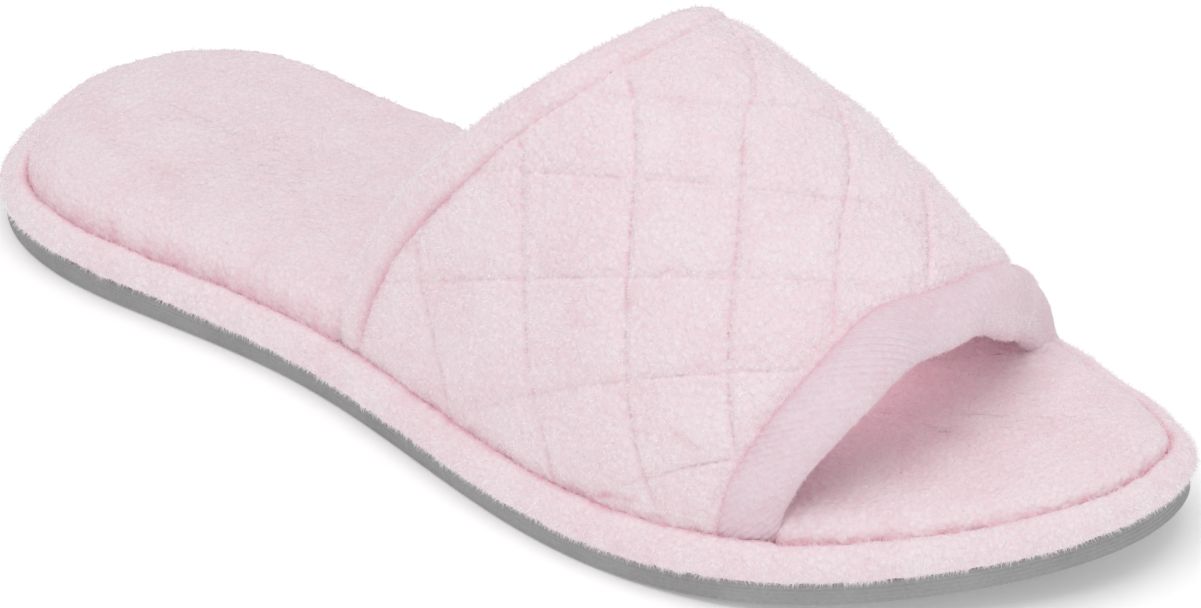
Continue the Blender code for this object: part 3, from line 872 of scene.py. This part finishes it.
def upper_surface(u, t):
    """The upper's outer surface. t is -1 at the lateral seam, 0 on the ridge, 1 at the medial seam.
    Past the seams it runs straight down, by 1 mm for each 1 added to t."""
    u, t = np.broadcast_arrays(np.asarray(u, float), np.asarray(t, float))
    angle = arch_angle(t)
    cosine, sine = np.cos(angle), np.clip(np.sin(angle), 0.0, 1.0)
    x_lateral, x_medial = arch_value("lateral", u), arch_value("medial", u)
    share = (1.0 - np.sign(cosine) * np.abs(cosine) ** arch_value("side", u)) / 2.0
    y_lateral = OUTLINE.edge_y("lateral", x_lateral, SEAM_INSET)
    y_medial = OUTLINE.edge_y("medial", x_medial, SEAM_INSET)
    forward = arch_value("apex", u) - (x_lateral + x_medial) / 2.0
    sideways = arch_value("apex_y", u) - (y_lateral + y_medial) / 2.0
    x = x_lateral + (x_medial - x_lateral) * share + forward * sine**APEX_FORWARD_POWER
    y = y_lateral + (y_medial - y_lateral) * share + sideways * sine**2
    base = underside(x_lateral) * (1.0 - share) + underside(x_medial) * share + SEAM_HEIGHT
    drop = np.maximum(np.abs(t) - 1.0, 0.0)
    z = base + arch_rise(u) * sine ** arch_value("dome", u) - drop
    flare = TOE_FLARE * smoothstep(t, *TOE_FLARE_ACROSS) * smoothstep(u, *TOE_FLARE_ALONG)
    hump = TOE_HUMP * bell(t, TOE_HUMP_AT, TOE_HUMP_WIDTH) * smoothstep(u, *TOE_HUMP_ALONG)
    sag = THROAT_SAG * bell(t, THROAT_SAG_AT, THROAT_SAG_WIDTH)
    sag = sag * (1.0 - smoothstep(u, *THROAT_SAG_ALONG))
    return np.stack([x, y, z + hump - sag], axis=-1) + flare[..., None] * np.array(TOE_FLARE_WAY)


def upper_normal(u, t):
    """The outward normal of the upper's surface."""
    u, t = np.broadcast_arrays(np.asarray(u, float), np.asarray(t, float))
    small_u, small_t = 0.004, 0.006
    inside = np.clip(t, -1.0 + 2.0 * small_t, 1.0 - 2.0 * small_t)
    along = upper_surface(u + small_u, inside) - upper_surface(u - small_u, inside)
    across = upper_surface(u, inside + small_t) - upper_surface(u, inside - small_t)
    normal = unit(np.cross(along, across))
    flat = unit(normal * np.array([1.0, 1.0, 0.0]))
    level = smoothstep(np.abs(t), 0.94, 1.0)[..., None]
    return unit(normal * (1.0 - level) + flat * level)


def upper_length(t):
    """Length of the upper's surface from its throat edge to its toe edge at t."""
    steps = np.linspace(0.0, 1.0, 25)[:, None]
    line = upper_surface(steps, np.asarray(t, float)[None, :])
    return np.linalg.norm(np.diff(line, axis=0), axis=-1).sum(axis=0)


def height_over_seam(t, u):
    """How far up from the seam with the sole a point of the upper is."""
    return arch_rise(u) * np.clip(np.sin(arch_angle(t)), 0.0, 1.0) ** arch_value("dome", u)


def seam_shade(t, u):
    """1 at the seam with the sole, and 0 from SEAM_SHADE above it."""
    return 1.0 - smoothstep(height_over_seam(t, u), 0.0, SEAM_SHADE)


def quilt_line(u, t):
    """The number of the stitch line at a point; whole numbers lie on a line."""
    along = QUILT_START + QUILT_ALONG * u + QUILT_ALONG_SQUARE * u**2
    return along + QUILT_ACROSS * t + QUILT_SKEW * u * t + QUILT_ACROSS_SQUARE * t**2


def quilt_relief(u, t):
    """Depth of the quilted surface below the crests of its diamonds, and the numbers of its lines."""
    lines = quilt_line(u, t), quilt_line(u, -t) - QUILT_MIRROR_SHIFT
    full = np.abs(np.sin(math.pi * lines[0]) * np.sin(math.pi * lines[1])) ** QUILT_FULLNESS
    grooves, ridges = [], []
    for line, deep, high in zip(lines, GROOVE_DEPTHS, RIDGE_HEIGHTS):
        away = (line - np.round(line)) * QUILT_CELL
        grooves.append(deep * np.exp(-(np.abs(away / GROOVE_WIDTH) ** 1.5)))
        ridges.append(high * bell(away, RIDGE_BESIDE, RIDGE_WIDTH))
    return PILLOW_RISE * (1.0 - full) + np.maximum(*grooves) - sum(ridges), lines


def wrinkle_depth(u, t):
    """Depth of the creases near the lateral seam."""
    scale = np.array([upper_length(np.zeros(1))[0], ARCH_HALF_LENGTH])
    at = np.stack([u, t], axis=-1) * scale
    total = np.zeros(np.shape(u))
    for u_start, t_start, u_end, t_end, width, depth in WRINKLES:
        start, end = np.array([u_start, t_start]) * scale, np.array([u_end, t_end]) * scale
        way = end - start
        share = np.clip(((at - start) @ way) / (way @ way), 0.0, 1.0)
        away = np.linalg.norm(at - start - share[..., None] * way, axis=-1)
        total += depth * bell(away, 0.0, width)
    return total


def throat_width(t):
    """Width of the throat binding, which grows up from the seams."""
    return THROAT_BINDING_WIDTH + THROAT_BINDING_GROWTH * smoothstep(1.0 - np.abs(t), 0.0, 0.45)


def toe_width(t):
    """Width of the toe binding, which narrows over the ridge to the medial side."""
    return TOE_BINDING_WIDTH - TOE_BINDING_NARROW * smoothstep(t, -0.20, 0.15)


def crease(t):
    """How sharply the throat binding stands out: wholly at the seams, faintly on the ridge."""
    return 1.0 - 0.6 * smoothstep(1.0 - np.abs(t), 0.30, 0.70)


def edge_depth(depth, grown):
    """A depth in an edge binding, which thins towards the seam with the sole."""
    return np.interp(depth, FULL_DEPTHS, SEAM_DEPTHS) * (1.0 - grown) + depth * grown


def across_stations(count):
    """t of the columns across the upper, evenly spaced over the arch, with the skirts past them."""
    fine = np.linspace(-1.0, 1.0, 2001)
    line = upper_surface(0.35, fine)
    length = running_length(line)
    even = np.interp(np.linspace(0.0, length[-1], count), length, fine)
    skirt = 1.0 + np.array([SKIRT_DROP * 0.5, SKIRT_DROP])
    return np.concatenate([-skirt[::-1], even, skirt])


def make_upper(material):
    """The quilted upper: a padded wall from under one binding to under the other."""
    t = across_stations(UPPER_COLUMNS)
    inside = np.clip(t, -1.0, 1.0)
    lengths = upper_length(inside)
    throat = throat_width(inside) / lengths
    toe = 1.0 - toe_width(inside) / lengths
    span = (toe - throat) * lengths
    at_edge = np.zeros_like(t)
    # Each row is u, the distance in mm from the nearer binding, and whether it lies under one
    rows = [(throat + reach / lengths, at_edge, True) for reach in (-FLANGE_REACH, -2.0, -GAP)]
    for share in np.linspace(0.0, 1.0, UPPER_ROWS):
        rows.append((throat + (toe - throat) * share, np.minimum(share, 1.0 - share) * span, False))
    rows += [(toe + reach / lengths, at_edge, True) for reach in (GAP, 2.0, FLANGE_REACH)]
    outer, inner, deep, lines = [], [], [], []
    for u, from_edge, flange in rows:
        grown = smoothstep(height_over_seam(t, u), 0.0, SEAM_TAPER)
        surface, normal = upper_surface(u, t), upper_normal(u, t)
        relief, families = quilt_relief(u, inside)
        near_toe = u > 0.5
        rim = np.where(near_toe, RIM_DEPTH, RIM_DEPTH * crease(inside) - 0.1)
        if flange:
            above, below = edge_depth(FLANGE_OUTER, grown), edge_depth(FLANGE_INNER, grown)
        else:
            fade = smoothstep(from_edge, 0.0, RIM_REACH)
            above = grown * (relief * fade + rim * (1.0 - fade)) + 0.25 * (1.0 - grown)
            above = above + wrinkle_depth(u, inside)
            below = WALL_AT_SEAM + (WALL - WALL_AT_SEAM) * grown
        # Painted shade: deeper pink beside the stitch grooves, at the seam with the sole, in the crease at
        # a binding and in the wrinkles
        low = seam_shade(t, u)
        stitch_groove_shade = np.clip(relief - PILLOW_RISE, 0.0, 1.0)
        wrinkle_shade = np.clip(wrinkle_depth(u, inside), 0.0, 1.0)
        rim_crease_shade = np.exp(-from_edge / 0.6) * np.where(near_toe, 1.0, crease(inside))
        outer.append(surface - normal * above[:, None])
        inner.append(surface - normal * below[:, None])
        deep.append(np.clip(blend(UPPER_SHADES, (stitch_groove_shade, low, rim_crease_shade, wrinkle_shade)), 0.0, 0.9))
        lines.append(np.stack(families, axis=1))
    outer, inner, deep, lines = (np.array(values) for values in (outer, inner, deep, lines))
    build = Builder()
    n_rows, n_columns = outer.shape[:2]
    top = build.add_points(outer).reshape(n_rows, n_columns)
    under = build.add_points(inner).reshape(n_rows, n_columns)
    build.add_grid(top, (0.01, 0.01, 0.47, 0.90))
    build.add_grid(under[:, ::-1], (0.49, 0.01, 0.95, 0.90))
    build.add_grid(np.stack([under[0], top[0]]), (0.01, 0.91, 0.95, 0.925))
    build.add_grid(np.stack([top[-1], under[-1]]), (0.01, 0.935, 0.95, 0.95))
    build.add_grid(np.stack([top[:, 0], under[:, 0]]), (0.01, 0.96, 0.95, 0.975))
    build.add_grid(np.stack([under[:, -1], top[:, -1]]), (0.01, 0.98, 0.95, 0.995))
    mesh = build.mesh("upper_terry")
    # The upper's inner side is painted a little deep pink as shade
    full = np.concatenate([deep.ravel(), np.full(under.size, 0.3)])
    pile(mesh, full, *UPPER_TUFTS)
    for column, name in enumerate(("line_v", "line_h")):
        numbers = np.concatenate([lines[..., column].ravel(), np.full(under.size, 0.5)])
        set_attribute(mesh, name, numbers)
    piece = link("upper_terry", mesh, material)
    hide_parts("upper")
    from_line = np.abs(lines - np.round(lines)).min(axis=2) * QUILT_CELL
    bare = 0.15 + 0.85 * smoothstep(from_line, 0.0, 0.9)
    share = np.concatenate([bare.ravel(), np.full(under.size, 0.12)])
    return piece, share


def make_footbed(material):
    """The padded footbed: a pillow edge round a soft, lightly crowned top."""
    plan, normal = OUTLINE.around(FOOTBED_COLUMNS)
    inset = FOOTBED_INSET + (WALL_AT_SEAM + FOOTBED_CLEAR) * beside_upper(plan)
    inset = inset + FOOTBED_LEAN_SHARE * lean_in(plan, normal)
    # The crease round the footbed's edge is painted deep pink as shade, in dashes like stitches
    stitches = soft_noise(ring_at(FOOTBED_COLUMNS, 0.0, 0.0), FOOTBED_STITCH, 33)
    dashes = 0.35 + 0.45 * smoothstep(stitches, -0.2, 0.5)
    build = Builder()
    rings, deep = [], []
    for reach, height, depth in FOOTBED_EDGE:
        at = plan - normal * (inset + reach)[:, None]
        raised = height + swell(at[:, 0]) * smoothstep(height, 2.0, 6.0)
        rings.append(np.column_stack([at, underside(at[:, 0]) + FOOTBED_BOTTOM + raised]))
        deep.append(depth * dashes)
    for reach in np.linspace(2.6, FOOTBED_RINGS_REACH, FOOTBED_RINGS):
        at = plan - normal * (inset + reach)[:, None]
        rings.append(np.column_stack([at, footbed_top(at, reach)]))
        deep.append(np.zeros(FOOTBED_COLUMNS))
    ids = build.add_wall(rings, (0.0, 0.62, 1.0, 0.99))

    def top(points, from_rim):
        return np.column_stack([points[:, :2], footbed_top(points, FOOTBED_RINGS_REACH + from_rim)])

    def bottom(points, _):
        return np.column_stack([points[:, :2], underside(points[:, 0]) + FOOTBED_BOTTOM])

    build.add_cap(ids[-1], top, FOOTBED_CAP_ROWS, (0.0, 0.12, 1.0, 0.60))
    bottom_start = build.count
    build.add_cap(ids[0], bottom, 2, (0.0, 0.01, 1.0, 0.10), under=True)
    mesh = build.mesh("footbed_terry")
    full = np.zeros(build.count)
    full[: ids.size] = np.concatenate(deep)
    pile(mesh, full[build.used], *FOOTBED_TUFTS)
    piece = link("footbed_terry", mesh, material)
    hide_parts("footbed")
    share = np.ones(build.count)
    share[: FOOTBED_COLUMNS * len(FOOTBED_EDGE)] = 0.6
    share[: FOOTBED_COLUMNS * FOOTBED_BARE_ROWS] = 0.0
    share[bottom_start:] = 0.0
    return piece, share[build.used]


def swell(along):
    """How much thicker than at its toe end the footbed's pad is."""
    return FOOTBED_SWELL * smoothstep(along, *SWELL_RISES) * (1.0 - smoothstep(along, *SWELL_FALLS))


def footbed_top(points, from_edge):
    """Height of the footbed's top at a distance in from its edge."""
    edge = FOOTBED_TOP - FOOTBED_ROUND * np.exp(-np.asarray(from_edge) / FOOTBED_ROUND_REACH)
    crown = FOOTBED_CROWN * smoothstep(from_edge, 4.0, 30.0)
    return underside(points[:, 0]) + FOOTBED_BOTTOM + edge + crown + swell(points[:, 0])


def upper_window(side, along):
    """1 where the upper's edge stands between the wrap and the footbed, 0 elsewhere."""
    column = ARCH_COLUMNS.index(side)
    start, end = THROAT_ARCH[column], TOE_ARCH[column]
    return smoothstep(along, start - 2.0, start + 0.5) * (1.0 - smoothstep(along, end - 0.5, end + 2.0))


def beside_upper(plan):
    """The upper's window at points that go once round the outline, the lateral side first."""
    lateral = np.arange(len(plan)) < len(plan) * 0.5
    return np.where(lateral, upper_window("lateral", plan[:, 0]), upper_window("medial", plan[:, 0]))


def make_wrap(material):
    """The terry strip round the midsole's edge, a soft roll that turns under at both edges."""
    profile = np.array(WRAP_PROFILE)
    against = profile.copy()
    against[WRAP_ROLL] = WRAP_AGAINST
    length = running_length(profile)
    visible = np.linspace(3.6, length[-3] - 0.2, WRAP_ROWS)
    even = np.concatenate([[0.0, 3.0], visible, length[-2:]])
    section = resample(profile, length, even)
    out, up = section.T
    closer, higher = (resample(against, length, even) - section).T
    plan, normal = OUTLINE.around(WRAP_COLUMNS)
    lean = lean_in(plan, normal)
    raised = HEEL_EDGE_RISE * (1.0 - smoothstep(plan[:, 0], *HEEL_EDGE_ALONG))
    beside = beside_upper(plan)
    rows = []
    for row in range(len(even)):
        height = WRAP_BOTTOM + up[row] + higher[row] * beside
        height = height + raised * (1.0 - smoothstep(up[row], 0.0, 3.0))
        across = out[row] + closer[row] * beside - lean * smoothstep(up[row], 0.0, 4.0)
        rows.append(ring_at(WRAP_COLUMNS, across, height))
    build = Builder()
    ids = build.add_wall(rows, (0.0, 0.02, 1.0, 0.90))
    build.add_closed(np.stack([ids[-1], ids[0]]), (0.0, 0.92, 1.0, 0.99))
    mesh = build.mesh("wrap_terry")
    # Painted shade: deep pink on the inner roll against the upper, and a little on the edge that turns
    # under
    inner = smoothstep(-out, 1.0, 2.6) * (up > 3.0)
    lower = smoothstep(-up, -0.6, 0.1) * 0.3
    deep = np.repeat(0.75 * inner + lower, WRAP_COLUMNS)
    pile(mesh, deep, *WRAP_TUFTS)
    piece = link("wrap_terry", mesh, material)
    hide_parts("midsole_wrap")
    shown = ((out > -2.2) & (up > 0.3)).astype(float)
    ragged = 1.0 + 1.2 * ((out > -1.5) & (up < 1.6))
    return piece, np.repeat(shown * ragged, WRAP_COLUMNS)


def binding_section():
    """The outside of a binding's fold in section, evenly spaced, with its slot after it."""
    shape = np.array(BINDING_FOLD)
    length = running_length(shape * (FOLD_SPREAD, 1.0))
    fold = resample(shape, length, np.linspace(0.0, length[-1], FOLD_ROWS))
    for _ in range(3):
        fold[1:-1] = (fold[:-2] + 2.0 * fold[1:-1] + fold[2:]) / 4.0
    end = SLOT_DEPTH / FOLD_SPREAD
    return np.vstack([fold, [(0.0, SLOT_INNER), (end, SLOT_INNER), (end, SLOT_OUTER), (0.0, SLOT_OUTER)]])


def lip_tuck(share, t):
    """How far the toe binding is tucked in: wholly at its lip, on the medial side of the ridge."""
    return smoothstep(share, 0.35, 0.95) * smoothstep(t, 0.10, 0.45) * (1.0 - smoothstep(t, 0.85, 1.0))


def make_binding(name, at_toe, columns, material, tufting):
    """A folded edge binding that follows the throat or the toe edge from seam to seam."""
    t = across_stations(columns)
    inside = np.clip(t, -1.0, 1.0)
    lengths = upper_length(inside)
    width = toe_width(inside) if at_toe else throat_width(inside)
    section = binding_section()
    seam = 1.0 - width / lengths if at_toe else width / lengths
    outwards = 1.0 if at_toe else -1.0
    sharp = np.ones_like(t) if at_toe else crease(inside)
    lines, deep = [], []
    for share, depth in section:
        reach = np.minimum(share, 1.0) * width if share >= 0.0 else np.full_like(t, share * FOLD_SPREAD)
        u = seam + outwards * reach / lengths
        grown = smoothstep(height_over_seam(t, u), 0.0, SEAM_TAPER)
        lift = 0.55 * (1.0 - sharp) * math.exp(-max(share, 0.0) / 0.12) if 0.0 < depth < 2.0 else 0.0
        line = upper_surface(u, t) - upper_normal(u, t) * edge_depth(depth - lift, grown)[:, None]
        if at_toe and depth != SLOT_OUTER:
            line = line + lip_tuck(share, t)[:, None] * np.array(TOE_TUCK)
        lines.append(line)
        # Painted shade: deep pink in the crease at the seam, a little over the fold's inner side, and near
        # the sole's seam
        crease_shade = np.exp(-reach / 0.7) * sharp if depth < 2.0 else np.full_like(t, 0.2)
        deep.append(np.clip(0.55 * crease_shade + 0.40 * seam_shade(t, u), 0.0, 0.9))
    grid = np.stack(lines, axis=1)
    build = Builder()
    ids = build.add_wall(grid, (0.0, 0.0, 1.0, 0.96))
    half = len(section) // 2
    for row, low in ((0, 0.965), (-1, 0.985)):
        loop = ids[row]
        first, second = loop[:half], loop[: len(loop) - half - 1 : -1]
        pair = np.stack([first, second]) if row else np.stack([second, first])
        build.add_grid(pair, (0.0, low, 1.0, low + 0.01))
    mesh = build.mesh(name)
    full = np.stack(deep, axis=1).ravel()
    if at_toe:
        run = running_length(grid[:, len(section) // 4])[:, None]
        over = np.cumsum(np.linalg.norm(np.diff(grid, axis=1, prepend=grid[:, :1]), axis=2), axis=1)
        set_attribute(mesh, "course", ((run - over) * math.pi * math.sqrt(2.0) / KNIT_PITCH).ravel())
    pile(mesh, full, *tufting)
    piece = link(name, mesh, material)
    at_lip = np.array([[0.75 + 2.5 * (share > 0.8 and depth < 4.0) for share, depth in section]])
    return piece, np.repeat(at_lip, len(t), axis=0).ravel()


def make_outsole(material):
    """The grey outsole with fine lines round its side and a plain tread."""
    rows = [ring_at(OUTSOLE_COLUMNS, -1.3, 0.0), ring_at(OUTSOLE_COLUMNS, -0.5, 0.1)]
    for height in np.linspace(0.35, OUTSOLE_THICK - 0.05, OUTSOLE_ROWS):
        line = -0.12 - SOLE_LINE_DEPTH * math.cos(2.0 * math.pi * height / SOLE_LINE_PITCH)
        rows.append(ring_at(OUTSOLE_COLUMNS, line, height))
    rows.append(ring_at(OUTSOLE_COLUMNS, -0.5, OUTSOLE_THICK))
    build = Builder()
    ids = build.add_wall(rows, (0.0, 0.60, 1.0, 0.99))

    def tread(points, from_rim):
        """Shallow waves across the tread, inside a plain rim."""
        wave = np.sin(points[:, 0] * 2.0 * math.pi / TREAD_PITCH + 1.2 * np.sin(points[:, 1] / 4.0))
        groove = TREAD_DEPTH * smoothstep(wave, 0.2, 0.9) * smoothstep(from_rim, 2.0, 4.0)
        return np.column_stack([points[:, :2], underside(points[:, 0]) + groove])

    def top(points, _):
        return np.column_stack([points[:, :2], underside(points[:, 0]) + OUTSOLE_THICK])

    build.add_cap(ids[0], tread, TREAD_CAP_ROWS, (0.0, 0.12, 1.0, 0.58), under=True)
    build.add_cap(ids[-1], top, 2, (0.0, 0.01, 1.0, 0.10))
    mesh = build.mesh("outsole_rubber")
    piece = link("outsole_rubber", mesh, material)
    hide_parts("outsole")
    return piece


def make_camera():
    azimuth, elevation = math.radians(CAMERA_AZIMUTH), math.radians(CAMERA_ELEVATION)
    roll = math.radians(CAMERA_ROLL)
    back = np.array(
        [
            math.sin(azimuth) * math.cos(elevation),
            -math.cos(azimuth) * math.cos(elevation),
            math.sin(elevation),
        ]
    )
    level = np.array([math.cos(azimuth), math.sin(azimuth), 0.0])
    upright = np.cross(back, level)
    right = math.cos(roll) * level + math.sin(roll) * upright
    up = -math.sin(roll) * level + math.cos(roll) * upright
    aim = np.array(CAMERA_AIM) + right * CAMERA_AIM_RIGHT + up * CAMERA_AIM_UP
    data = bpy.data.cameras.new("camera")
    data.lens = CAMERA_LENS
    data.sensor_width = CAMERA_SENSOR
    data.clip_start = 0.05
    data.clip_end = 20.0
    camera = bpy.data.objects.new("camera", data)
    bpy.context.scene.collection.objects.link(camera)
    turned = Matrix([[*row] for row in np.stack([right, up, back], axis=1)]).to_4x4()
    turned.translation = to_frame(aim + back * CAMERA_DISTANCE).tolist()
    camera.matrix_world = turned
    bpy.context.scene.camera = camera


def area_light(name, place, aim, size, power, colour):
    """A rectangular lamp, size being its width and height."""
    data = bpy.data.lights.new(name, "AREA")
    data.shape = "RECTANGLE"
    data.size, data.size_y = size
    data.energy = power
    data.color = colour
    light = bpy.data.objects.new(name, data)
    bpy.context.scene.collection.objects.link(light)
    light.location = place
    light.rotation_mode = "QUATERNION"
    light.rotation_quaternion = (Vector(aim) - Vector(place)).to_track_quat("-Z", "Y")
    light.visible_camera = False


def make_stage():
    """A plain pale floor and soft light from a white surround."""
    bpy.ops.mesh.primitive_plane_add(size=FLOOR_SIZE, location=(0.0, 0.0, 0.0))
    floor = bpy.context.object
    floor.name = "floor"
    white = Material("floor_white")
    glow = {"Emission Color": WHITE, "Emission Strength": FLOOR_GLOW}
    white.settle(white.shader, {"Base Color": FLOOR_COLOUR, "Roughness": 0.9, **glow})
    floor.data.materials.append(white.made)
    world = bpy.data.worlds.new("surround")
    world.use_nodes = True
    world.node_tree.nodes["Background"].inputs["Color"].default_value = WHITE
    world.node_tree.nodes["Background"].inputs["Strength"].default_value = SURROUND
    bpy.context.scene.world = world
    for name, settings in LAMPS.items():
        area_light(name, *settings)
    bpy.context.scene.view_settings.view_transform = "Standard"


def main():
    make_camera()
    make_stage()
    plush = terry("terry", TERRY_TIP, TERRY_SHADE_PINK, CLOTH_BUMP)
    quilted = terry("quilted_terry", TERRY_TIP, TERRY_SHADE_PINK, CLOTH_BUMP, quilted=True)
    knit = terry("knit_binding", BINDING_TIP, BINDING_SHADE_PINK, CLOTH_BUMP, knitted=True)
    hair = terry("terry_pile", PILE_LIT_TIP, TERRY_SHADE_PINK, through=PILE_SCATTER)
    strip = terry("wrap_pile", WRAP_SHADED_TIP, TERRY_SHADE_PINK, through=PILE_SCATTER)
    fuzz = terry("binding_pile", PILE_LIT_TIP, BINDING_SHADE_PINK, through=PILE_SCATTER)
    upper, upper_share = make_upper(quilted)
    footbed, footbed_share = make_footbed(plush)
    wrap, wrap_share = make_wrap(plush)
    throat, throat_share = make_binding("throat_binding_terry", False, THROAT_COLUMNS, plush, THROAT_TUFTS)
    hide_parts("throat_binding")
    toe, toe_share = make_binding("toe_binding_knit", True, TOE_COLUMNS, knit, TOE_TUFTS)
    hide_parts("toe_binding")
    make_outsole(rubber("outsole_rubber"))
    fibres("upper_pile", upper, hair, "quilted_terry", *UPPER_FIBRES, upper_share)
    fibres("footbed_pile", footbed, hair, "footbed_terry", *FOOTBED_FIBRES, footbed_share)
    fibres("wrap_pile", wrap, strip, "terry_pink", *WRAP_FIBRES, wrap_share)
    fibres("throat_pile", throat, hair, "binding_terry", *THROAT_FIBRES, throat_share)
    fibres("toe_pile", toe, fuzz, "binding_terry", *TOE_FIBRES, toe_share)


main()
